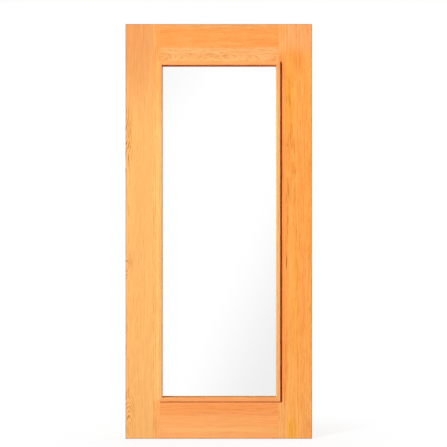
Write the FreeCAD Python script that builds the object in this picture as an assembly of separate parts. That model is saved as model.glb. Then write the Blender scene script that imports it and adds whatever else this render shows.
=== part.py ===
import FreeCAD
import Part
import os

# Glazed wooden door leaf: two stiles, two rails, one tall pane of glass and raised beads round it
# on both faces. Millimetres. X runs from the hinge edge to the lock edge, the front faces -Y and
# Z is up. The origin lies on the hinge edge, at its foot and halfway through the thickness.

# Leaf
leaf_width = 900.0
leaf_height = 2000.0
leaf_thickness = 35.0
edge_round = 1.5

# Stiles: a wide board with a narrow strip glued to its inner edge
left_board_width = 134.0
left_strip_width = 33.0
right_board_width = 125.0
right_strip_width = 37.0

# Rails: an outer board at the leaf's end and an inner board beside the glass
rail_outer_board_height = 113.0
rail_inner_board_height = 76.0

# Tenons on the rail boards, glued into mortises in the stiles
tenon_thickness = 12.0
tenon_length = 70.0
tenon_set_in = 10.0
tenon_end_set_in = 35.0
tenon_chamfer = 1.5
mortise_end_gap = 2.0

# Glass, with the rubber blocks under it and the tape on both of its faces
glass_thickness = 5.0
glass_edge_gap = 3.0
tape_thickness = 1.5
tape_recess = 1.0
setting_block_length = 60.0
setting_block_place = 0.25

# Beads: a moulding that laps over the frame and reaches in to the tape
bead_width = 18.0
bead_lap = 8.0
bead_rise = 8.0
bead_outer_radius = 0.6
bead_inner_radius = 1.0
bead_fit_gap = 0.5

# Lines that the pieces share
half_leaf = leaf_thickness / 2
opening_left = left_board_width + left_strip_width
opening_right = leaf_width - right_board_width - right_strip_width
rail_height = rail_outer_board_height + rail_inner_board_height
opening_bottom = rail_height
opening_top = leaf_height - rail_height
channel_half = glass_thickness / 2 + tape_thickness

# Points closer than this count as one when edges are picked out
same_place = 0.001

V = FreeCAD.Vector


def block(x0, x1, y0, y1, z0, z1):
    return Part.makeBox(x1 - x0, y1 - y0, z1 - z0, V(x0, y0, z0))


def slab(x0, x1, z0, z1, half_thickness):
    return block(x0, x1, -half_thickness, half_thickness, z0, z1)


# The whole leaf with the edges of both faces eased. Every board is cut from it, so that the
# rounding runs on from board to board.
def leaf_envelope():
    whole = slab(0, leaf_width, 0, leaf_height, half_leaf)
    face_edges = [
        edge
        for edge in whole.Edges
        if abs(abs(edge.CenterOfMass.y) - half_leaf) < same_place
    ]
    return whole.makeFillet(edge_round, face_edges)


# Tenon that leaves a shoulder at x and points to the left or the right
def tenon(shoulder_x, points_right, z0, z1):
    tip_x = shoulder_x + tenon_length if points_right else shoulder_x - tenon_length
    body = slab(min(shoulder_x, tip_x), max(shoulder_x, tip_x), z0, z1, tenon_thickness / 2)
    tip_edges = [
        edge
        for edge in body.Edges
        if all(abs(vertex.X - tip_x) < same_place for vertex in edge.Vertexes)
    ]
    return body.makeChamfer(tenon_chamfer, tip_edges)


def mortise(shoulder_x, points_right, z0, z1):
    depth = tenon_length + mortise_end_gap
    end_x = shoulder_x + depth if points_right else shoulder_x - depth
    return slab(min(shoulder_x, end_x), max(shoulder_x, end_x), z0, z1, tenon_thickness / 2)


# Bottom and top of each rail board, with the bottom and top of its tenon. A tenon stays further
# in from the leaf's end, where a mortise would break out.
def rail_boards():
    joint_low = rail_outer_board_height
    joint_high = leaf_height - rail_outer_board_height
    return {
        "bottom_rail_lower_board": (0, joint_low, tenon_end_set_in, joint_low - tenon_set_in),
        "bottom_rail_upper_board": (
            joint_low,
            opening_bottom,
            joint_low + tenon_set_in,
            opening_bottom - tenon_set_in,
        ),
        "top_rail_lower_board": (
            opening_top,
            joint_high,
            opening_top + tenon_set_in,
            joint_high - tenon_set_in,
        ),
        "top_rail_upper_board": (
            joint_high,
            leaf_height,
            joint_high + tenon_set_in,
            leaf_height - tenon_end_set_in,
        ),
    }


def build_rails(envelope):
    made = {}
    for name, (z0, z1, tenon_z0, tenon_z1) in rail_boards().items():
        board = slab(opening_left, opening_right, z0, z1, half_leaf).common(envelope)
        board = board.fuse(tenon(opening_left, False, tenon_z0, tenon_z1))
        board = board.fuse(tenon(opening_right, True, tenon_z0, tenon_z1))
        made[name] = board.removeSplitter()
    return made


def build_stiles(envelope):
    spans = {
        "left_stile_board": (0, left_board_width),
        "left_stile_strip": (left_board_width, opening_left),
        "right_stile_strip": (opening_right, opening_right + right_strip_width),
        "right_stile_board": (opening_right + right_strip_width, leaf_width),
    }
    mortises = []
    for z0, z1, tenon_z0, tenon_z1 in rail_boards().values():
        mortises.append(mortise(opening_left, False, tenon_z0, tenon_z1))
        mortises.append(mortise(opening_right, True, tenon_z0, tenon_z1))
    made = {}
    for name, (x0, x1) in spans.items():
        board = slab(x0, x1, 0, leaf_height, half_leaf).common(envelope)
        made[name] = board.cut(mortises).removeSplitter()
    return made


# Glass, and what it stands on and is bedded in
def build_glazing():
    left = opening_left + glass_edge_gap
    right = opening_right - glass_edge_gap
    bottom = opening_bottom + glass_edge_gap
    top = opening_top - glass_edge_gap
    made = {"glass_pane": slab(left, right, bottom, top, glass_thickness / 2)}

    places = {
        "left_setting_block": left + setting_block_place * (right - left),
        "right_setting_block": right - setting_block_place * (right - left),
    }
    for name, middle in places.items():
        made[name] = slab(
            middle - setting_block_length / 2,
            middle + setting_block_length / 2,
            opening_bottom,
            bottom,
            glass_thickness / 2,
        )

    # The tape runs from the edge of the glass to a little short of the beads' sight line
    reach = bead_width - bead_lap - tape_recess
    near_left, near_right = opening_left + reach, opening_right - reach
    near_bottom, near_top = opening_bottom + reach, opening_top - reach
    tapes = {
        "left_tape": (left, near_left, bottom, top),
        "right_tape": (near_right, right, bottom, top),
        "bottom_tape": (near_left, near_right, bottom, near_bottom),
        "top_tape": (near_left, near_right, near_top, top),
    }
    for name, (x0, x1, z0, z1) in tapes.items():
        made["front_" + name] = block(x0, x1, -channel_half, -glass_thickness / 2, z0, z1)
        made["back_" + name] = block(x0, x1, glass_thickness / 2, channel_half, z0, z1)
    return made


# Middle of the arc of a given radius between two points, on the left of the way between them
def arc_middle(start, end, radius):
    run_x, run_y = end[0] - start[0], end[1] - start[1]
    chord = (run_x**2 + run_y**2) ** 0.5
    bulge = radius - (radius**2 - (chord / 2) ** 2) ** 0.5
    middle_x = (start[0] + end[0]) / 2 - run_y / chord * bulge
    middle_y = (start[1] + end[1]) / 2 + run_x / chord * bulge
    return (middle_x, middle_y)


# Section of a bead. Each point is the distance in from the bead's outer edge and the height above
# the face of the leaf. place turns the two into a point in space.
def bead_section(place):
    heel = (0, 0)
    outer_low = (0, bead_rise - bead_outer_radius)
    outer_high = (bead_outer_radius, bead_rise)
    inner_high = (bead_width - bead_inner_radius, bead_rise)
    inner_low = (bead_width, bead_rise - bead_inner_radius)
    tongue_inside = (bead_width, channel_half - half_leaf)
    tongue_outside = (bead_lap + bead_fit_gap, channel_half - half_leaf)
    rebate_corner = (bead_lap + bead_fit_gap, 0)

    def line(start, end):
        return Part.LineSegment(place(*start), place(*end)).toShape()

    def arc(start, end, radius):
        middle = arc_middle(start, end, radius)
        return Part.Arc(place(*start), place(*middle), place(*end)).toShape()

    edges = [
        line(heel, outer_low),
        arc(outer_low, outer_high, bead_outer_radius),
        line(outer_high, inner_high),
        arc(inner_high, inner_low, bead_inner_radius),
        line(inner_low, tongue_inside),
        line(tongue_inside, tongue_outside),
        line(tongue_outside, rebate_corner),
        line(rebate_corner, heel),
    ]
    return Part.Face(Part.Wire(edges))


# Four beads round the glass on one face, mitred at the corners. facing is -1 on the front, +1 on
# the back.
def build_beads(face_name, facing):
    left, right = opening_left - bead_lap, opening_right + bead_lap
    bottom, top = opening_bottom - bead_lap, opening_top + bead_lap

    def out(height):
        return facing * (half_leaf + height)

    # Space that one bead may fill: it goes through the leaf and its ends run in at 45 degrees. It
    # starts outside the bead and goes past it by the bead's own width.
    def mitre_prism(corner_a, corner_b, inward):
        along = (corner_b - corner_a).normalize()
        diagonal_a = (along + inward) * bead_width
        diagonal_b = (inward - along) * bead_width
        plan = [
            corner_a - diagonal_a,
            corner_b - diagonal_b,
            corner_b + diagonal_b * 2,
            corner_a + diagonal_a * 2,
            corner_a - diagonal_a,
        ]
        depth = leaf_thickness + bead_rise
        front = [point - V(0, depth, 0) for point in plan]
        return Part.Face(Part.makePolygon(front)).extrude(V(0, 2 * depth, 0))

    low_left, low_right = V(left, 0, bottom), V(right, 0, bottom)
    top_left, top_right = V(left, 0, top), V(right, 0, top)
    upright = V(0, 0, top - bottom)
    level = V(right - left, 0, 0)
    bars = {
        "left": (
            lambda u, v: V(left + u, out(v), bottom),
            upright,
            mitre_prism(low_left, top_left, V(1, 0, 0)),
        ),
        "right": (
            lambda u, v: V(right - u, out(v), bottom),
            upright,
            mitre_prism(low_right, top_right, V(-1, 0, 0)),
        ),
        "bottom": (
            lambda u, v: V(left, out(v), bottom + u),
            level,
            mitre_prism(low_left, low_right, V(0, 0, 1)),
        ),
        "top": (
            lambda u, v: V(left, out(v), top - u),
            level,
            mitre_prism(top_left, top_right, V(0, 0, -1)),
        ),
    }
    made = {}
    for side, (place, run, prism) in bars.items():
        bar = bead_section(place).extrude(run)
        made[face_name + "_" + side + "_bead"] = bar.common(prism)
    return made


def build_door():
    envelope = leaf_envelope()
    pieces = {}
    pieces.update(build_stiles(envelope))
    pieces.update(build_rails(envelope))
    pieces.update(build_glazing())
    pieces.update(build_beads("front", -1))
    pieces.update(build_beads("back", 1))
    return pieces


def export(pieces):
    os.makedirs("parts", exist_ok=True)
    for name, shape in pieces.items():
        solids = shape.Solids
        if len(solids) != 1 or not shape.isValid():
            raise ValueError(name + " is not one valid solid")
        solids[0].exportStep("parts/" + name + ".step")
        print(name, round(solids[0].Volume / 1000.0, 2), "cm3")


export(build_door())
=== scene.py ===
import math

import bpy
from mathutils import Matrix, Vector


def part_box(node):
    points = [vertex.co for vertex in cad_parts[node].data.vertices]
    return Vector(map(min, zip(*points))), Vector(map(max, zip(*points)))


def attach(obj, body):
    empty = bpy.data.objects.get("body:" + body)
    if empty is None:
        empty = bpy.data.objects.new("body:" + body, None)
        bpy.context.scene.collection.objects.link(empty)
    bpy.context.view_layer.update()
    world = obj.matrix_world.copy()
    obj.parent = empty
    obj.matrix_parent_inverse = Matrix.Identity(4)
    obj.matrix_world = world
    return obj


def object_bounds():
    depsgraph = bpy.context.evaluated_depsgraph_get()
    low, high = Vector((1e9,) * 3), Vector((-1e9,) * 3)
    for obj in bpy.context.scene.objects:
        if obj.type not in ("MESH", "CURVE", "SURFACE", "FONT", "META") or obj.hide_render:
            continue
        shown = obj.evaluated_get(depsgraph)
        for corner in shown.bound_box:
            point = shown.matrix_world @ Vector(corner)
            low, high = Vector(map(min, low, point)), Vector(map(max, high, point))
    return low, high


# Looks of a glazed wooden door leaf. Every board has its own cut of wood under one satin
# varnish, the pane is clear glass, and a filled pin shows wherever a bead is nailed on.

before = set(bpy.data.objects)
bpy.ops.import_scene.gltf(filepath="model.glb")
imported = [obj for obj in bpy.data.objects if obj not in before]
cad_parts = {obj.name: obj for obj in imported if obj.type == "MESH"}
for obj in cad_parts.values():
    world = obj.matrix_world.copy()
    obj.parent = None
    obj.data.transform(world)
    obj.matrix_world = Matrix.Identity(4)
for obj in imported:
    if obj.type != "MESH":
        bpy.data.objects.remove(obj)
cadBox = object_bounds()
print("frame loaded,", len(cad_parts), "pieces")


# Helpers for node trees

alongX, alongY, alongZ = (1, 0, 0), (0, 1, 0), (0, 0, 1)
faceNames = ("front", "back")
noiseMiddle = 0.5           # a noise swings about this
noiseRange = (0.3, 0.7)     # and hardly leaves this range
patchFade = 0.2             # a patch is whole up to here, unless it says otherwise


def fromScreen(red, green, blue):
    # a colour as read off a screen, 0 to 255, in the numbers that a shader takes
    def straighten(value):
        share = value / 255
        return share / 12.92 if share <= 0.04045 else ((share + 0.055) / 1.055) ** 2.4
    return (straighten(red), straighten(green), straighten(blue), 1.0)


def newMaterial(name):
    material = bpy.data.materials.new(name)
    material.use_nodes = True
    material.node_tree.nodes.clear()
    return material


def feed(tree, socket, value):
    # a socket takes a link or a plain value
    if isinstance(value, bpy.types.NodeSocket):
        tree.links.new(value, socket)
    else:
        socket.default_value = value


def addNode(tree, kind, inputs=None, **settings):
    made = tree.nodes.new(kind)
    for setting, value in settings.items():
        setattr(made, setting, value)
    for socketName, value in (inputs or {}).items():
        feed(tree, made.inputs[socketName], value)
    return made


def sums(tree, operation, first, second=0.0, clamp=False):
    made = addNode(tree, "ShaderNodeMath", operation=operation, use_clamp=clamp)
    feed(tree, made.inputs[0], first)
    feed(tree, made.inputs[1], second)
    return made.outputs[0]


def vectorSums(tree, operation, first, second):
    made = addNode(tree, "ShaderNodeVectorMath", operation=operation)
    feed(tree, made.inputs[0], first)
    feed(tree, made.inputs["Scale" if operation == "SCALE" else 1], second)
    return made.outputs["Value" if operation == "DOT_PRODUCT" else "Vector"]


def lengthOf(tree, vector):
    made = addNode(tree, "ShaderNodeVectorMath", operation="LENGTH")
    feed(tree, made.inputs[0], vector)
    return made.outputs["Value"]


def distanceAlong(tree, vector, axis):
    # how far a vector reaches along an axis, whichever way
    return sums(tree, "ABSOLUTE", vectorSums(tree, "DOT_PRODUCT", vector, axis))


def ramp(tree, value, low, high, lowOut=0.0, highOut=1.0, kind="SMOOTHSTEP"):
    made = addNode(
        tree,
        "ShaderNodeMapRange",
        {"From Min": low, "From Max": high, "To Min": lowOut, "To Max": highOut},
        interpolation_type=kind,
    )
    feed(tree, made.inputs["Value"], value)
    return made.outputs["Result"]


def mixColour(tree, share, first, second):
    # in a Mix node the colours are sockets 6 and 7, and the mixed colour is output 2
    made = addNode(tree, "ShaderNodeMix", data_type="RGBA")
    feed(tree, made.inputs[0], share)
    feed(tree, made.inputs[6], first)
    feed(tree, made.inputs[7], second)
    return made.outputs[2]


def mixShaders(tree, share, first, second):
    made = addNode(tree, "ShaderNodeMixShader")
    feed(tree, made.inputs[0], share)
    feed(tree, made.inputs[1], first)
    feed(tree, made.inputs[2], second)
    return made.outputs[0]


def noise(tree, vector, stretch, seed, detail=2.0, roughness=0.5):
    made = addNode(
        tree,
        "ShaderNodeTexNoise",
        {"W": seed, "Scale": 1.0, "Detail": detail, "Roughness": roughness},
        noise_dimensions="4D",
    )
    feed(tree, made.inputs["Vector"], vectorSums(tree, "MULTIPLY", vector, stretch))
    return made.outputs["Fac"]


def objectPlace(tree):
    return addNode(tree, "ShaderNodeTexCoord").outputs["Object"]


def inSpace(tree, place, inputs):
    # the same place, measured in a space that is moved, turned or stretched
    inputs = {"Vector": place, **inputs}
    made = addNode(tree, "ShaderNodeMapping", inputs, vector_type="TEXTURE")
    return made.outputs["Vector"]


def bumpOf(tree, height, strength, depth):
    inputs = {"Height": height, "Strength": strength, "Distance": depth}
    return addNode(tree, "ShaderNodeBump", inputs).outputs["Normal"]


def softPatch(tree, place, patch):
    # 1 in the middle of an oval patch, 0 from its rim outwards, times the patch's share
    inPatch = inSpace(tree, place, {"Location": patch["at"], "Scale": patch["reach"]})
    away = lengthOf(tree, inPatch)
    return ramp(tree, away, patch.get("fade", patchFade), 1.0, patch["share"], 0.0)


def setSurface(tree, surface, kind="ShaderNodeOutputMaterial"):
    output = addNode(tree, kind)
    feed(tree, output.inputs["Surface"], surface)


# Wood: lengths in metres, and stretches as waves to the metre, along the log and across it

varnishedWood = {
    "waveDetail": 3.0,
    "waveRoughness": 0.45,
    "ringSpread": (0.4, 55.0, 55.0),
    "lateRise": (0.30, 0.88),           # shares of a ring's width where its late wood deepens
    "lateFall": (0.90, 1.0),            # and where it ends
    "faintestYear": 0.4,
    "streaks": (1.1, 46.0, 46.0),
    "streakRange": (0.36, 0.64),
    "lineBreaks": (26.0, 80.0, 80.0),   # where the late wood fades out along a ring
    "lineBreakShade": (0.35, 1.5),
    "dashDetail": 1.0,
    "dashRange": (0.57, 0.68),          # only the peaks of the noise make a dash
    "dashInLate": (0.05, 0.7),
    "dashInEarly": 0.2,
    "dashColour": fromScreen(190, 100, 12),
    "fineStreaks": (8.0, 260.0, 260.0),
    "fineDetail": 1.0,
    "fineRange": (0.34, 0.66),
    "fineDark": (0.93, 0.87, 0.76, 1.0),
    "fineLight": (1.05, 1.08, 1.12, 1.0),
    "mottle": (46.0, 210.0, 210.0),     # breaks the fine streaks up
    "mottleShare": 0.5,
    "fibres": (9.0, 950.0, 950.0),
    "fibreDetail": 3.0,
    "fibreRoughness": 0.6,
    "fibreShade": (0.93, 1.04),
    "endGrainFacing": (0.5, 0.85),      # how square a face lies to the grain
    "endGrainShade": 0.62,
    "jointWidth": 0.0005,
    "jointShade": 0.78,
    "rimWidth": 0.007,                  # the leaf is a shade darker within this of its outer edges
    "rimShade": 0.66,
    "roughness": (0.44, 0.58),
    "edgeRoughness": 0.88,              # the planed faces are finer than the edges
    "faceFacing": (0.5, 0.9),
    "shine": 0.06,
    "relief": 0.00015,
    "reliefStrength": 0.5,
}

# Every pattern in a board has a seed of its own, this far from the board's
seedSteps = {
    "rings": 2.3,
    "streaks": 7.7,
    "lineBreaks": 1.7,
    "dashes": 9.4,
    "fineStreaks": 3.9,
    "mottle": 6.2,
    "fibres": 5.1,
}


def logPlace(tree, place, look, grain):
    # the log's own coordinates: X runs along its centre line, whichever way that leans
    turn = grain.to_track_quat("X", "Z").to_euler()
    return inSpace(tree, place, {"Location": look["pith"], "Rotation": turn})


def yearRings(tree, look, place, inLog):
    # years counted outwards from the pith, pushed in and out by slow waves along the log
    wood, seed = varnishedWood, look["seed"]
    roughness = look.get("waveRoughness", wood["waveRoughness"])
    waves = noise(tree, inLog, look["waves"], seed, wood["waveDetail"], roughness)
    waves = sums(tree, "SUBTRACT", waves, noiseMiddle)
    push = sums(tree, "MULTIPLY", waves, look["waveHeight"])
    radius = lengthOf(tree, vectorSums(tree, "MULTIPLY", inLog, (0.0, 1.0, 1.0)))
    rings = sums(tree, "DIVIDE", sums(tree, "ADD", radius, push), look["ringWidth"])
    spread = noise(tree, inLog, wood["ringSpread"], seed + seedSteps["rings"])
    rings = sums(tree, "ADD", rings, spread)
    for swirl in look.get("swirls", []):
        rings = sums(tree, "ADD", rings, softPatch(tree, place, swirl))
    return rings


def lateWoodOf(tree, rings):
    # 0 in a year's early wood, 1 towards the year's end
    inRing = sums(tree, "FRACT", rings)
    rise = ramp(tree, inRing, *varnishedWood["lateRise"])
    fall = ramp(tree, inRing, *varnishedWood["lateFall"], 1.0, 0.0)
    return sums(tree, "MULTIPLY", rise, fall)


def lateLines(tree, look, inLog, rings, lateWood):
    # the late wood, deeper in some years than in others and broken along the ring
    wood = varnishedWood
    year = addNode(tree, "ShaderNodeTexWhiteNoise", noise_dimensions="1D")
    feed(tree, year.inputs["W"], sums(tree, "FLOOR", rings))
    yearTone = year.outputs["Value"]
    yearTone = ramp(tree, yearTone, 0.0, 1.0, wood["faintestYear"], 1.0, "LINEAR")
    breaks = noise(tree, inLog, wood["lineBreaks"], look["seed"] + seedSteps["lineBreaks"])
    breaks = ramp(tree, breaks, *wood["streakRange"], *wood["lineBreakShade"])
    return sums(tree, "MULTIPLY", lateWood, sums(tree, "MULTIPLY", yearTone, breaks))


def ringTone(tree, look, place, inLog, lines):
    # early wood, drifting to a second tone in broad streaks and in soft patches
    wood = varnishedWood
    streaks = noise(tree, inLog, wood["streaks"], look["seed"] + seedSteps["streaks"])
    streaks = ramp(tree, streaks, *wood["streakRange"])
    tone = mixColour(tree, streaks, look["early"], look["second"])
    for patch in look.get("patches", []):
        tone = mixColour(tree, softPatch(tree, place, patch), tone, patch["colour"])
    lateShare = look["lateShare"]
    for patch in look.get("linePatches", []):
        lateShare = sums(tree, "ADD", softPatch(tree, place, patch), lateShare)
    lateShare = sums(tree, "MULTIPLY", lines, lateShare, clamp=True)
    return mixColour(tree, lateShare, tone, look["late"])


def darkDashes(tree, look, place, inLog, lateWood):
    # short dark dashes, most of them in the late wood, and more where the board has a patch
    wood = varnishedWood
    seed = look["seed"] + seedSteps["dashes"]
    dashes = noise(tree, inLog, look["dashes"], seed, wood["dashDetail"])
    dashes = ramp(tree, dashes, *wood["dashRange"])
    inEarly = wood["dashInEarly"] * look["dashShare"]
    dashShare = ramp(tree, lateWood, *wood["dashInLate"], inEarly, look["dashShare"])
    for patch in look.get("dashPatches", []):
        dashShare = sums(tree, "ADD", dashShare, softPatch(tree, place, patch), clamp=True)
    return sums(tree, "MULTIPLY", dashes, dashShare)


def fineStreakTone(tree, look, inLog):
    # fine streaks that are deeper in colour more than darker, broken up along the grain
    wood, seed = varnishedWood, look["seed"]
    streakSeed = seed + seedSteps["fineStreaks"]
    fineStreaks = noise(tree, inLog, wood["fineStreaks"], streakSeed, wood["fineDetail"])
    mottle = noise(tree, inLog, wood["mottle"], seed + seedSteps["mottle"])
    mottle = sums(tree, "SUBTRACT", mottle, noiseMiddle)
    mottle = sums(tree, "MULTIPLY", mottle, look.get("mottleShare", wood["mottleShare"]))
    fineStreaks = ramp(tree, sums(tree, "ADD", fineStreaks, mottle), *wood["fineRange"])
    fineTone = mixColour(tree, fineStreaks, wood["fineDark"], wood["fineLight"])
    return mixColour(tree, look.get("fineShare", 1.0), (1, 1, 1, 1), fineTone)


def planeGap(tree, place, planes):
    # how far the nearest of some planes is
    nearest = None
    for point, normal in planes:
        gap = distanceAlong(tree, vectorSums(tree, "SUBTRACT", place, point), normal)
        nearest = gap if nearest is None else sums(tree, "MINIMUM", nearest, gap)
    return nearest


def paintedSillShadowFactor(tree, place, paintedSillShadow):
    # painted shade: the left bead's shadow on the sill and the shade beside the glass, darkest at
    # the left end and beside the glass
    toRight = vectorSums(tree, "DOT_PRODUCT", place, alongX)
    shade = ramp(tree, toRight, paintedSillShadow["from"], paintedSillShadow["to"], paintedSillShadow["dark"], paintedSillShadow["light"])
    toMiddle = distanceAlong(tree, place, alongY)
    return ramp(tree, toMiddle, *paintedSillShadow["reach"], shade, 1.0)


def woodShades(tree, look, where, grain, fibres, joints, rims):
    # fibres, end grain, a hairline where boards are glued, painted shade on the sill, and a darker
    # band along the leaf's edges
    wood = varnishedWood
    place = where.outputs["Object"]
    facing = distanceAlong(tree, where.outputs["Normal"], grain)
    toJoint = planeGap(tree, place, joints)
    shades = [
        ramp(tree, facing, *wood["endGrainFacing"], 1.0, wood["endGrainShade"]),
        ramp(tree, toJoint, 0.0, wood["jointWidth"], wood["jointShade"], 1.0),
    ]
    # painted shade on the sill beside the glass
    if "paintedSillShadow" in look:
        shades.append(paintedSillShadowFactor(tree, place, look["paintedSillShadow"]))
    if rims:
        toRim = planeGap(tree, place, rims)
        shades.append(ramp(tree, toRim, 0.0, wood["rimWidth"], wood["rimShade"], 1.0))
    product = ramp(tree, fibres, *noiseRange, *wood["fibreShade"])
    for shade in shades:
        product = sums(tree, "MULTIPLY", product, shade)
    return product


def makeWood(name, look, joints, rims=()):
    wood = varnishedWood
    material = newMaterial(name)
    tree = material.node_tree
    where = addNode(tree, "ShaderNodeTexCoord")
    place = where.outputs["Object"]
    grain = Vector(look["grain"]).normalized()
    inLog = logPlace(tree, place, look, grain)
    fibreSeed = look["seed"] + seedSteps["fibres"]
    fibres = noise(
        tree, inLog, wood["fibres"], fibreSeed, wood["fibreDetail"], wood["fibreRoughness"]
    )

    rings = yearRings(tree, look, place, inLog)
    lateWood = lateWoodOf(tree, rings)
    lines = lateLines(tree, look, inLog, rings, lateWood)
    dashes = darkDashes(tree, look, place, inLog, lateWood)
    tone = ringTone(tree, look, place, inLog, lines)
    tone = mixColour(tree, dashes, tone, wood["dashColour"])
    tone = vectorSums(tree, "MULTIPLY", tone, fineStreakTone(tree, look, inLog))
    shade = woodShades(tree, look, where, grain, fibres, joints, rims)
    tone = vectorSums(tree, "SCALE", tone, shade)

    # varnish: the dashes and the late wood lie a hair lower, and the fibres show in its gloss
    height = sums(tree, "SUBTRACT", fibres, sums(tree, "ADD", dashes, lines))
    faceOn = distanceAlong(tree, where.outputs["Normal"], alongY)
    faceRoughness = ramp(tree, fibres, *noiseRange, *wood["roughness"])
    roughness = ramp(
        tree, faceOn, *wood["faceFacing"], wood["edgeRoughness"], faceRoughness
    )
    shader = addNode(
        tree,
        "ShaderNodeBsdfPrincipled",
        {
            "Base Color": tone,
            "Roughness": roughness,
            "Normal": bumpOf(tree, height, wood["reliefStrength"], wood["relief"]),
            "Specular IOR Level": wood["shine"],
        },
    )
    setSurface(tree, shader.outputs["BSDF"])
    return material


def dress(nodeName, material):
    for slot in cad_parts[nodeName].material_slots:
        slot.material = material


# Which sides of a board are glued to another one

boardJoints = {
    "left_stile_board": ["right"],
    "left_stile_strip": ["left", "right"],
    "right_stile_strip": ["left", "right"],
    "right_stile_board": ["left"],
    "top_rail_upper_board": ["bottom", "leftShoulder", "rightShoulder"],
    "top_rail_lower_board": ["top", "leftShoulder", "rightShoulder"],
    "bottom_rail_upper_board": ["bottom", "leftShoulder", "rightShoulder"],
    "bottom_rail_lower_board": ["top", "leftShoulder", "rightShoulder"],
}


def jointPlanes(nodeName):
    low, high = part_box(nodeName)
    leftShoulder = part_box("left_stile_strip")[1].x
    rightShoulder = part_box("right_stile_strip")[0].x
    sides = {
        "left": ((low.x, 0, 0), alongX),
        "right": ((high.x, 0, 0), alongX),
        "bottom": ((0, 0, low.z), alongZ),
        "top": ((0, 0, high.z), alongZ),
        "leftShoulder": ((leftShoulder, 0, 0), alongX),
        "rightShoulder": ((rightShoulder, 0, 0), alongX),
    }
    return [sides[side] for side in boardJoints[nodeName]]


def leafRims():
    low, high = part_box("left_stile_board")[0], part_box("right_stile_board")[1]
    return [
        ((low.x, 0, 0), alongX),
        ((high.x, 0, 0), alongX),
        ((0, 0, low.z), alongZ),
        ((0, 0, high.z), alongZ),
    ]


# Boards. "pith" is a point on the log's centre line and "grain" the way that line runs; the
# nearer the pith lies to a face, the wider the arches of its rings.

leftStileBoard = {
    "seed": 1.0,
    "pith": (-0.014, 0.042, 1.0),
    "grain": (0.002, 0.006, 1.0),
    "ringWidth": 0.0062,
    "waves": (4.2, 9.0, 9.0),
    "waveHeight": 0.032,
    "waveRoughness": 0.58,
    "early": fromScreen(250, 194, 114),
    "second": fromScreen(249, 189, 110),
    "late": fromScreen(206, 132, 60),
    "lateShare": 0.32,
    "fineShare": 0.42,
    "mottleShare": 0.2,
    "dashes": (50.0, 700.0, 700.0),
    "dashShare": 0.06,
    "swirls": [
        {"at": (0.030, 0, 0.04), "reach": (0.050, 1, 0.19), "share": -6.0, "fade": 0.0},
        {"at": (-0.024, 0, 1.600), "reach": (0.100, 1, 0.26), "share": -6.0, "fade": 0.0},
        {"at": (0.014, 0, 0.83), "reach": (0.042, 1, 0.09), "share": -3.5, "fade": 0.0},
    ],
    "linePatches": [
        {"at": (0.01, 0, 0.15), "reach": (0.06, 1, 0.15), "share": 0.54},
        {"at": (0.004, 0, 1.44), "reach": (0.044, 1, 0.21), "share": 1.35},
        {"at": (0.012, 0, 0.84), "reach": (0.045, 1, 0.10), "share": 0.6},
    ],
    "patches": [
        {"at": (0.06, 0, 2.02), "reach": (0.4, 1, 0.60), "share": 0.95,
         "colour": fromScreen(234, 162, 94)},
        {"at": (0.121, 0, 1.62), "reach": (0.014, 1, 0.5), "share": 0.5,
         "colour": fromScreen(254, 184, 114)},
        {"at": (0.095, 0, 1.34), "reach": (0.05, 1, 0.30), "share": 0.6,
         "colour": fromScreen(252, 187, 106)},
    ],
}

leftStileStrip = {
    "seed": 2.0,
    "pith": (0.116, 0.07, 1.0),
    "grain": (0.001, 0.001, 1.0),
    "ringWidth": 0.0040,
    "waves": (1.0, 6.0, 6.0),
    "waveHeight": 0.008,
    "early": fromScreen(250, 194, 116),
    "second": fromScreen(252, 190, 113),
    "late": fromScreen(222, 146, 68),
    "lateShare": 0.60,
    "dashes": (30.0, 500.0, 500.0),
    "dashShare": 0.12,
    "patches": [
        {"at": (0.15, 0, 2.0), "reach": (0.3, 1, 0.195), "share": 0.95, "fade": 0.85,
         "colour": fromScreen(253, 172, 95)},
        {"at": (0.15, 0, 1.79), "reach": (0.3, 1, 0.22), "share": 0.85, "fade": 0.3,
         "colour": fromScreen(249, 173, 94)},
        {"at": (0.15, 0, 0.0), "reach": (0.3, 1, 0.19), "share": 0.95, "fade": 0.9,
         "colour": fromScreen(254, 183, 106)},
    ],
}

rightStileStrip = {
    "seed": 3.0,
    "pith": (0.792, 0.09, 1.0),
    "grain": (0.001, 0.002, 1.0),
    "ringWidth": 0.0036,
    "waves": (1.0, 6.0, 6.0),
    "waveHeight": 0.010,
    "early": fromScreen(255, 182, 106),
    "second": fromScreen(255, 177, 100),
    "late": fromScreen(250, 151, 68),
    "lateShare": 0.55,
    "dashes": (20.0, 450.0, 450.0),
    "dashShare": 0.22,
    "patches": [
        # deeper orange beside the right bead, over its length: partly the strip's own tone, partly
        # painted shade next to the bead's shadow
        {"at": (0.756, 0, 1.0), "reach": (0.2, 1, 0.86), "share": 0.85, "fade": 0.9,
         "colour": fromScreen(254, 166, 76)},
        {"at": (0.756, 0, 1.79), "reach": (0.3, 1, 0.11), "share": 0.7, "fade": 0.3,
         "colour": fromScreen(245, 154, 68)},
        {"at": (0.756, 0, 0.0), "reach": (0.3, 1, 0.19), "share": 0.95, "fade": 0.9,
         "colour": fromScreen(255, 192, 109)},
    ],
}

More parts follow.
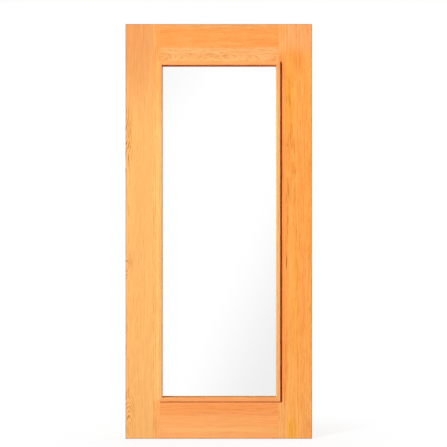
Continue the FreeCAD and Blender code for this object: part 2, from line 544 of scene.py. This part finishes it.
rightStileBoard = {
    "seed": 4.0,
    "pith": (0.800, 0.10, 1.0),
    "grain": (-0.001, 0.003, 1.0),
    "ringWidth": 0.0040,
    "waves": (1.0, 5.0, 5.0),
    "waveHeight": 0.014,
    "early": fromScreen(255, 181, 92),
    "second": fromScreen(255, 174, 86),
    "late": fromScreen(244, 147, 62),
    "lateShare": 0.62,
    "dashes": (14.0, 300.0, 300.0),
    "dashShare": 0.32,
    "linePatches": [
        {"at": (0.81, 0, 0.04), "reach": (0.07, 1, 0.30), "share": -0.5},
    ],
    "patches": [
        {"at": (0.84, 0, 2.02), "reach": (0.3, 1, 0.21), "share": 0.95, "fade": 0.5,
         "colour": fromScreen(249, 179, 111)},
        {"at": (0.84, 0, 0.10), "reach": (0.3, 1, 0.50), "share": 0.7,
         "colour": fromScreen(255, 187, 97)},
        {"at": (0.800, 0, 0.03), "reach": (0.030, 1, 0.11), "share": 0.95,
         "colour": fromScreen(255, 189, 74)},
        {"at": (0.81, 0, 1.84), "reach": (0.09, 1, 0.08), "share": 0.7,
         "colour": fromScreen(246, 161, 77)},
        {"at": (0.885, 0, 0.04), "reach": (0.05, 1, 0.24), "share": 0.8,
         "colour": fromScreen(255, 187, 109)},
        {"at": (0.790, 0, 1.64), "reach": (0.026, 1, 0.32), "share": 0.8,
         "colour": fromScreen(251, 170, 63)},
        {"at": (0.812, 0, 0.72), "reach": (0.026, 1, 0.60), "share": 0.8,
         "colour": fromScreen(255, 182, 85)},
        {"at": (0.886, 0, 1.2), "reach": (0.012, 1, 0.70), "share": 0.8,
         "colour": fromScreen(252, 172, 76)},
    ],
    "dashPatches": [
        {"at": (0.779, 0, 1.0), "reach": (0.010, 1, 0.86), "share": 0.7, "fade": 0.4},
        {"at": (0.792, 0, 1.62), "reach": (0.026, 1, 0.28), "share": 0.8},
        {"at": (0.812, 0, 1.25), "reach": (0.012, 1, 0.20), "share": 0.7},
        {"at": (0.893, 0, 1.0), "reach": (0.014, 1, 0.80), "share": 0.3, "fade": 0.4},
    ],
}

topRailUpperBoard = {
    "seed": 5.0,
    "pith": (0.45, 0.10, 2.02),
    "grain": (1.0, 0.020, 0.006),
    "ringWidth": 0.0050,
    "waves": (2.6, 9.0, 9.0),
    "waveHeight": 0.040,
    "early": fromScreen(251, 170, 92),
    "second": fromScreen(248, 162, 82),
    "late": fromScreen(232, 140, 60),
    "lateShare": 0.48,
    "fineShare": 0.70,
    "dashes": (50.0, 700.0, 700.0),
    "dashShare": 0.08,
    "patches": [
        {"at": (0.18, 0, 1.93), "reach": (0.08, 1, 0.07), "share": 0.7,
         "colour": fromScreen(246, 160, 80)},
        {"at": (0.45, 0, 1.990), "reach": (0.5, 1, 0.022), "share": 0.8,
         "colour": fromScreen(233, 175, 109)},
    ],
}

topRailLowerBoard = {
    "seed": 16.7,
    "pith": (0.45, 0.050, 1.842),
    "grain": (1.0, 0.030, -0.004),
    "ringWidth": 0.0034,
    "waves": (6.0, 12.0, 12.0),
    "waveHeight": 0.030,
    "early": fromScreen(248, 188, 117),
    "second": fromScreen(247, 182, 110),
    "late": fromScreen(210, 138, 74),
    "lateShare": 0.58,
    "fineShare": 0.70,
    "dashes": (64.0, 560.0, 560.0),
    "dashShare": 0.35,
    "dashPatches": [
        {"at": (0.40, 0, 1.848), "reach": (0.34, 1, 0.022), "share": 0.45},
        {"at": (0.19, 0, 1.835), "reach": (0.08, 1, 0.022), "share": 0.6},
    ],
    "patches": [
        {"at": (0.17, 0, 1.85), "reach": (0.06, 1, 0.07), "share": 0.7,
         "colour": fromScreen(243, 175, 103)},
        {"at": (0.73, 0, 1.85), "reach": (0.07, 1, 0.07), "share": 0.7,
         "colour": fromScreen(243, 175, 103)},
    ],
}

bottomRailUpperBoard = {
    "seed": 7.0,
    "pith": (0.45, -0.16, 0.10),
    "grain": (1.0, 0.004, 0.010),
    "ringWidth": 0.0036,
    "waves": (2.4, 9.0, 9.0),
    "waveHeight": 0.026,
    "early": fromScreen(253, 173, 99),
    "second": fromScreen(250, 167, 91),
    "late": fromScreen(224, 128, 58),
    "lateShare": 0.36,
    "fineShare": 0.42,
    "dashes": (50.0, 700.0, 700.0),
    "dashShare": 0.10,
}

bottomRailLowerBoard = {
    "seed": 8.0,
    "pith": (0.45, 0.11, 0.03),
    "grain": (1.0, 0.006, 0.002),
    "ringWidth": 0.0050,
    "waves": (1.6, 7.0, 7.0),
    "waveHeight": 0.020,
    "early": fromScreen(255, 184, 109),
    "second": fromScreen(255, 180, 105),
    "late": fromScreen(236, 146, 76),
    "lateShare": 0.32,
    "fineShare": 0.34,
    "mottleShare": 0.2,
    "dashes": (50.0, 700.0, 700.0),
    "dashShare": 0.06,
    "linePatches": [
        {"at": (0.27, 0, 0.030), "reach": (0.18, 1, 0.020), "share": -0.3, "fade": 0.4},
    ],
    "patches": [
        {"at": (0.74, 0, 0.06), "reach": (0.36, 1, 0.09), "share": 0.6,
         "colour": fromScreen(255, 176, 96)},
        {"at": (0.45, 0, 0.042), "reach": (0.6, 1, 0.020), "share": 0.9,
         "colour": fromScreen(255, 192, 113)},
    ],
}

boards = {
    "left_stile_board": leftStileBoard,
    "left_stile_strip": leftStileStrip,
    "right_stile_strip": rightStileStrip,
    "right_stile_board": rightStileBoard,
    "top_rail_upper_board": topRailUpperBoard,
    "top_rail_lower_board": topRailLowerBoard,
    "bottom_rail_upper_board": bottomRailUpperBoard,
    "bottom_rail_lower_board": bottomRailLowerBoard,
}
for nodeName, look in boards.items():
    dress(nodeName, makeWood(nodeName + "_wood", look, jointPlanes(nodeName), leafRims()))
print("boards varnished:", len(boards))


# Beads: straight quiet grain that runs with each bead, and a hairline at each mitre

beadWood = {
    "ringWidth": 0.0030,
    "waves": (1.2, 8.0, 8.0),
    "waveHeight": 0.008,
    "lateShare": 0.36,
    "fineShare": 0.60,
    "mottleShare": 0.2,
    "dashes": (50.0, 700.0, 700.0),
    "dashShare": 0.05,
}
beadSides = {
    "left": {
        "seed": 11.0, "pith": (0.35, 0.10, 1.0), "grain": (0.001, 0.001, 1.0),
        "early": fromScreen(244, 194, 123), "second": fromScreen(242, 188, 115),
        "late": fromScreen(228, 160, 90),
        "patches": [
            {"at": (0.17, 0, 1.78), "reach": (0.3, 1, 0.34), "share": 0.85,
             "colour": fromScreen(241, 172, 98)},
        ],
    },
    "right": {
        "seed": 12.0, "pith": (0.60, -0.20, 1.0), "grain": (0.001, -0.001, 1.0),
        "early": fromScreen(246, 193, 122), "second": fromScreen(244, 187, 114),
        "late": fromScreen(228, 140, 70),
        "patches": [
            {"at": (0.73, 0, 1.78), "reach": (0.3, 1, 0.24), "share": 0.85,
             "colour": fromScreen(240, 174, 104)},
        ],
    },
    "top": {
        "seed": 13.0, "pith": (0.45, 0.12, 1.6), "grain": (1.0, 0.001, 0.001),
        "early": fromScreen(252, 178, 106), "second": fromScreen(250, 172, 100),
        "late": fromScreen(228, 142, 70),
    },
    "bottom": {
        "seed": 14.0, "pith": (0.45, -0.12, 0.4), "grain": (1.0, 0.001, -0.001),
        "early": fromScreen(254, 183, 111), "second": fromScreen(253, 176, 104),
        "late": fromScreen(234, 146, 78),
        # painted shade on the sill beside the glass: the left bead's shadow, darkest at the left
        # and fading to the right
        "paintedSillShadow": {"reach": (0.004, 0.018), "from": 0.20, "to": 0.62, "dark": 0.05, "light": 0.45},
    },
}


def beadCorners(faceName):
    # the outer corners of a face's four beads: lowest left and highest right
    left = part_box(faceName + "_left_bead")[0].x
    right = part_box(faceName + "_right_bead")[1].x
    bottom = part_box(faceName + "_bottom_bead")[0].z
    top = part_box(faceName + "_top_bead")[1].z
    return Vector((left, 0, bottom)), Vector((right, 0, top))


def mitrePlanes(faceName):
    low, high = beadCorners(faceName)
    highLeft, lowRight = Vector((low.x, 0, high.z)), Vector((high.x, 0, low.z))
    rising = Vector((1, 0, -1)).normalized()
    falling = Vector((1, 0, 1)).normalized()
    return {
        "left": [(low, rising), (highLeft, falling)],
        "right": [(high, rising), (lowRight, falling)],
        "top": [(high, rising), (highLeft, falling)],
        "bottom": [(low, rising), (lowRight, falling)],
    }


for side, sideLook in beadSides.items():
    look = {**beadWood, **sideLook}
    beadMaterial = makeWood(side + "_bead_wood", look, mitrePlanes("front")[side])
    for faceName in faceNames:
        dress(faceName + "_" + side + "_bead", beadMaterial)
print("beads varnished")


# Glass that lets the lamps through, with a breath of green in it and the faint wave of float glass

clearGlass = {
    "clear": (0.995, 0.998, 0.995, 1.0),
    "shaded": (0.845, 0.850, 0.845, 1.0),
    # painted shade standing in for a reflection: the pane greys towards its lower right corner, and
    # a little towards its upper left
    "lowShade": {"along": (0.911, 0.0, -0.413), "start": 0.10, "end": 0.56, "share": 1.0},
    "highShade": {"along": (-0.8, 0.0, 0.6), "start": 0.68, "end": 0.93, "share": 0.40},
    "ior": 1.52,
    "waveStretch": (5.0, 5.0, 5.0),
    "waveSeed": 21.0,
    "waveDetail": 1.0,
    "waveDepth": 0.00002,
    "waveStrength": 0.3,
}


def glassTintAndPaintedShade(tree, place):
    # the glass's clear colour, greyed by painted shade towards two corners
    shares = []
    for shade in (clearGlass["lowShade"], clearGlass["highShade"]):
        along = vectorSums(tree, "DOT_PRODUCT", place, shade["along"])
        shares.append(ramp(tree, along, shade["start"], shade["end"], 0.0, shade["share"]))
    share = sums(tree, "MAXIMUM", *shares)
    return mixColour(tree, share, clearGlass["clear"], clearGlass["shaded"])


def makeGlass():
    glass = clearGlass
    material = newMaterial("clear_glass_pane")
    tree = material.node_tree
    place = objectPlace(tree)
    tintAndPaintedShade = glassTintAndPaintedShade(tree, place)
    waves = noise(tree, place, glass["waveStretch"], glass["waveSeed"], glass["waveDetail"])
    shader = addNode(
        tree,
        "ShaderNodeBsdfPrincipled",
        {
            "Base Color": tintAndPaintedShade,
            "Roughness": 0.0,
            "IOR": glass["ior"],
            "Transmission Weight": 1.0,
            "Normal": bumpOf(tree, waves, glass["waveStrength"], glass["waveDepth"]),
        },
    )
    lampPass = addNode(tree, "ShaderNodeBsdfTransparent", {"Color": tintAndPaintedShade})
    ray = addNode(tree, "ShaderNodeLightPath")
    lampRay = sums(
        tree, "MAXIMUM", ray.outputs["Is Shadow Ray"], ray.outputs["Is Diffuse Ray"]
    )
    setSurface(tree, mixShaders(tree, lampRay, shader.outputs["BSDF"], lampPass.outputs["BSDF"]))
    return material


dress("glass_pane", makeGlass())


# Tape and setting blocks: pale foam and dark rubber

softSurface = {
    "seed": 31.0,
    "detail": 3.0,
    "noiseRoughness": 0.6,
    "shadeRange": (0.35, 0.65),
    "relief": 0.0002,
    "reliefStrength": 0.6,
}
glazingTape = {
    "colour": fromScreen(196, 190, 180),
    "shade": fromScreen(168, 162, 152),
    "cells": (1400.0, 1400.0, 1400.0),
    "roughness": (0.8, 0.9),
}
settingRubber = {
    "colour": fromScreen(44, 44, 45),
    "shade": fromScreen(30, 30, 31),
    "cells": (700.0, 700.0, 700.0),
    "roughness": (0.6, 0.7),
}


def makeSoft(name, look):
    soft = softSurface
    material = newMaterial(name)
    tree = material.node_tree
    cells = noise(
        tree, objectPlace(tree), look["cells"], soft["seed"], soft["detail"], soft["noiseRoughness"]
    )
    share = ramp(tree, cells, *soft["shadeRange"])
    shader = addNode(
        tree,
        "ShaderNodeBsdfPrincipled",
        {
            "Base Color": mixColour(tree, share, look["shade"], look["colour"]),
            "Roughness": ramp(tree, cells, *noiseRange, *look["roughness"]),
            "Normal": bumpOf(tree, cells, soft["reliefStrength"], soft["relief"]),
        },
    )
    setSurface(tree, shader.outputs["BSDF"])
    return material


tapeMaterial = makeSoft("foam_tape", glazingTape)
for faceName in faceNames:
    for side in beadSides:
        dress(faceName + "_" + side + "_tape", tapeMaterial)
rubberMaterial = makeSoft("block_rubber", settingRubber)
for nodeName in ("left_setting_block", "right_setting_block"):
    dress(nodeName, rubberMaterial)
print("glass, tape and blocks done")


# Pins that hold the beads, filled over: one is modelled and then copied along each bead

beadPin = {
    "radius": 0.0011,
    "depth": 0.0008,
    "sides": 14,
    "proud": 0.00003,
    "dish": 0.00002,
    "rim": 0.0003,
    "headFacing": -0.9,         # the head is the face whose normal has a Y under this
    "smoothAngle": 40.0,
    "fromOuterEdge": 0.0050,
    "fromCorner": 0.060,
    "spacing": 0.230,
    "filler": fromScreen(206, 132, 66),
    "fillerShade": fromScreen(184, 110, 50),
    "fillerGrains": (2600.0, 2600.0, 2600.0),
    "fillerSeed": 41.0,
    "fillerNoise": 0.6,
    "roughness": (0.4, 0.55),
}


def modelPin():
    # lies along Y with its head towards -Y, the head's face at the origin
    bpy.ops.object.select_all(action="DESELECT")
    bpy.ops.mesh.primitive_cylinder_add(
        vertices=beadPin["sides"],
        radius=beadPin["radius"],
        depth=beadPin["depth"],
        location=(0, beadPin["depth"] / 2, 0),
        rotation=(math.pi / 2, 0, 0),
    )
    pin = bpy.context.object
    bpy.ops.object.transform_apply(location=True, rotation=True, scale=True)
    bpy.ops.object.mode_set(mode="EDIT")
    bpy.ops.mesh.select_all(action="DESELECT")
    bpy.ops.object.mode_set(mode="OBJECT")
    for polygon in pin.data.polygons:
        polygon.select = polygon.normal.y < beadPin["headFacing"]
    bpy.ops.object.mode_set(mode="EDIT")
    bpy.ops.mesh.select_mode(type="FACE")
    bpy.ops.mesh.inset(thickness=beadPin["rim"])
    bpy.ops.transform.translate(value=(0, beadPin["dish"], 0))
    bpy.ops.object.mode_set(mode="OBJECT")
    return pin


def evenly(low, high):
    # places from one corner of the beads to the next, about one spacing apart
    length = high - low - 2 * beadPin["fromCorner"]
    steps = round(length / beadPin["spacing"])
    return [low + beadPin["fromCorner"] + length * step / steps for step in range(steps + 1)]


def pinPlaces():
    # along the middle of each bead's lap on the frame
    low, high = beadCorners("front")
    inset = beadPin["fromOuterEdge"]
    places = []
    for z in evenly(low.z, high.z):
        places += [(low.x + inset, z), (high.x - inset, z)]
    for x in evenly(low.x, high.x):
        places += [(x, low.z + inset), (x, high.z - inset)]
    return places


def makeFiller():
    material = newMaterial("pin_filler")
    tree = material.node_tree
    grains = noise(
        tree,
        objectPlace(tree),
        beadPin["fillerGrains"],
        beadPin["fillerSeed"],
        roughness=beadPin["fillerNoise"],
    )
    shader = addNode(
        tree,
        "ShaderNodeBsdfPrincipled",
        {
            "Base Color": mixColour(tree, grains, beadPin["fillerShade"], beadPin["filler"]),
            "Roughness": ramp(tree, grains, *noiseRange, *beadPin["roughness"]),
            "Specular IOR Level": varnishedWood["shine"],
        },
    )
    setSurface(tree, shader.outputs["BSDF"])
    return material


def setPins(faceName, master, material):
    low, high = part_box(faceName + "_left_bead")
    if faceName == "front":
        headY, turn = low.y - beadPin["proud"], 0
    else:
        headY, turn = high.y + beadPin["proud"], math.pi
    bpy.ops.object.select_all(action="DESELECT")
    for x, z in pinPlaces():
        copy = master.copy()
        copy.data = master.data.copy()
        moved = Matrix.Translation((x, headY, z))
        copy.data.transform(moved @ Matrix.Rotation(turn, 4, "Z"))
        bpy.context.collection.objects.link(copy)
        copy.select_set(True)
        bpy.context.view_layer.objects.active = copy
    bpy.ops.object.join()
    pins = bpy.context.object
    pins.name = faceName + "_bead_pins"
    pins.data.name = pins.name
    pins.data.materials.clear()
    pins.data.materials.append(material)
    bpy.ops.object.shade_smooth_by_angle(angle=math.radians(beadPin["smoothAngle"]))
    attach(pins, "root")


masterPin = modelPin()
fillerMaterial = makeFiller()
for faceName in faceNames:
    setPins(faceName, masterPin, fillerMaterial)
bpy.data.objects.remove(masterPin)
print("pins set:", len(faceNames) * len(pinPlaces()))


# Studio: pale floor, one tall soft light from the left, and a plain level all round

studio = {
    "floorSize": 60.0,
    "floorSeen": (0.80, 0.80, 0.80, 1.0),
    "leftBounce": (0.48, 0.38, 0.30, 1.0),      # the light off the floor is paler left of the door
    "rightBounce": (0.26, 0.02, 0.01, 1.0),     # and red-brown right of it
    "bounceChange": (-0.9, -0.2),
    "shadowShare": 0.15,        # of the floor's own shade, seen at the door's foot
    "shadowReach": (1.1, 0.75, 1.0),
    "shadowFade": 0.3,
    "keyTurn": 51.0,            # degrees left of the camera's way
    "keyLift": 22.0,
    "keyAway": 28.0,
    "keyWidth": 2.6,
    "keyHeight": 10.0,
    "keyLevel": 4.67,           # light that reaches the door, square on
    "keyColour": (0.92, 1.05, 1.12),
    "frontFill": (0.22, 0.01, 0.005, 1.0),      # weak, and keeps the shadows red-brown
    "backFill": (1.05, 1.05, 1.05, 1.0),
    "backFillDepth": (-0.1, 0.5),
    "sideFill": (4.0, 3.7, 2.6, 1.0),           # from behind on the right, through the pane
    "sideFillAcross": (0.5, 0.9),
    "sideFillDepth": (-0.1, 0.1),
    "lowFill": 0.25,            # share of the fill that comes from below
    "lowFillLift": (-0.2, 0.6),
    "background": (1.0, 1.0, 1.0, 1.0),
}
doorMiddle = Vector(cadBox[0]).lerp(Vector(cadBox[1]), 0.5)


def seenBy(tree, ray):
    # 1 to the camera, and to what mirrors or lets through what is behind the door
    seen = sums(tree, "MAXIMUM", ray.outputs["Is Camera Ray"], ray.outputs["Is Glossy Ray"])
    return sums(tree, "MAXIMUM", seen, ray.outputs["Is Transmission Ray"])


def makeFloor():
    bpy.ops.object.select_all(action="DESELECT")
    bpy.ops.mesh.primitive_plane_add(size=studio["floorSize"], location=(doorMiddle.x, 0, 0))
    floor = bpy.context.object
    floor.name = "studio_floor"
    material = newMaterial("pale_floor")
    tree = material.node_tree
    place = objectPlace(tree)
    ray = addNode(tree, "ShaderNodeLightPath")
    toRight = vectorSums(tree, "DOT_PRODUCT", place, alongX)
    change = ramp(tree, toRight, *studio["bounceChange"])
    bounce = mixColour(tree, change, studio["leftBounce"], studio["rightBounce"])
    colour = mixColour(tree, ray.outputs["Is Camera Ray"], bounce, studio["floorSeen"])
    diffuse = addNode(tree, "ShaderNodeBsdfDiffuse", {"Color": colour})
    glow = addNode(tree, "ShaderNodeEmission", {"Color": studio["background"]})
    away = lengthOf(tree, inSpace(tree, place, {"Scale": studio["shadowReach"]}))
    pool = ramp(tree, away, studio["shadowFade"], 1.0, studio["shadowShare"], 0.0)
    glowShare = sums(tree, "MULTIPLY", seenBy(tree, ray), sums(tree, "SUBTRACT", 1.0, pool))
    setSurface(tree, mixShaders(tree, glowShare, diffuse.outputs[0], glow.outputs[0]))
    floor.data.materials.append(material)


def makeWorld():
    world = bpy.data.worlds.new("studio_world")
    bpy.context.scene.world = world
    world.use_nodes = True
    tree = world.node_tree
    tree.nodes.clear()
    direction = addNode(tree, "ShaderNodeTexCoord").outputs["Generated"]
    parts = addNode(tree, "ShaderNodeSeparateXYZ")
    feed(tree, parts.inputs[0], direction)
    toRight, toBack, upwards = parts.outputs["X"], parts.outputs["Y"], parts.outputs["Z"]
    fromBehind = ramp(tree, toBack, *studio["backFillDepth"])
    fill = mixColour(tree, fromBehind, studio["frontFill"], studio["backFill"])
    fromRight = ramp(tree, toRight, *studio["sideFillAcross"])
    fromSide = sums(tree, "MULTIPLY", fromRight, ramp(tree, toBack, *studio["sideFillDepth"]))
    fill = mixColour(tree, fromSide, fill, studio["sideFill"])
    level = ramp(tree, upwards, *studio["lowFillLift"], studio["lowFill"], 1.0)
    fill = vectorSums(tree, "SCALE", fill, level)
    seen = seenBy(tree, addNode(tree, "ShaderNodeLightPath"))
    colour = mixColour(tree, seen, fill, studio["background"])
    background = addNode(tree, "ShaderNodeBackground", {"Color": colour})
    setSurface(tree, background.outputs[0], "ShaderNodeOutputWorld")


def makeKeyLight():
    turn, lift = math.radians(studio["keyTurn"]), math.radians(studio["keyLift"])
    level = math.cos(lift)
    away = Vector((-math.sin(turn) * level, -math.cos(turn) * level, math.sin(lift)))
    lamp = bpy.data.lights.new("key_softbox", "AREA")
    lamp.shape = "RECTANGLE"
    lamp.size = studio["keyWidth"]
    lamp.size_y = studio["keyHeight"]
    lamp.energy = studio["keyLevel"] * math.pi * studio["keyAway"] ** 2
    lamp.color = studio["keyColour"]
    key = bpy.data.objects.new("key_softbox", lamp)
    key.location = doorMiddle + away * studio["keyAway"]
    key.rotation_euler = away.to_track_quat("Z", "Y").to_euler()
    bpy.context.collection.objects.link(key)


makeFloor()
makeWorld()
makeKeyLight()
print("studio lit")


# Camera, square on to the door and a little right of and above its middle

cameraPlace = {"x": 0.473, "z": 1.038, "toFace": 4.1, "fieldWidth": 2.155, "sensor": 36.0}


def makeCamera():
    data = bpy.data.cameras.new("door_camera")
    data.sensor_width = cameraPlace["sensor"]
    data.lens = cameraPlace["sensor"] * cameraPlace["toFace"] / cameraPlace["fieldWidth"]
    camera = bpy.data.objects.new("door_camera", data)
    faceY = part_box("left_stile_board")[0].y
    camera.location = (cameraPlace["x"], faceY - cameraPlace["toFace"], cameraPlace["z"])
    camera.rotation_euler = (math.pi / 2, 0, 0)
    bpy.context.collection.objects.link(camera)
    bpy.context.scene.camera = camera


makeCamera()
bpy.context.scene.view_settings.view_transform = "Standard"
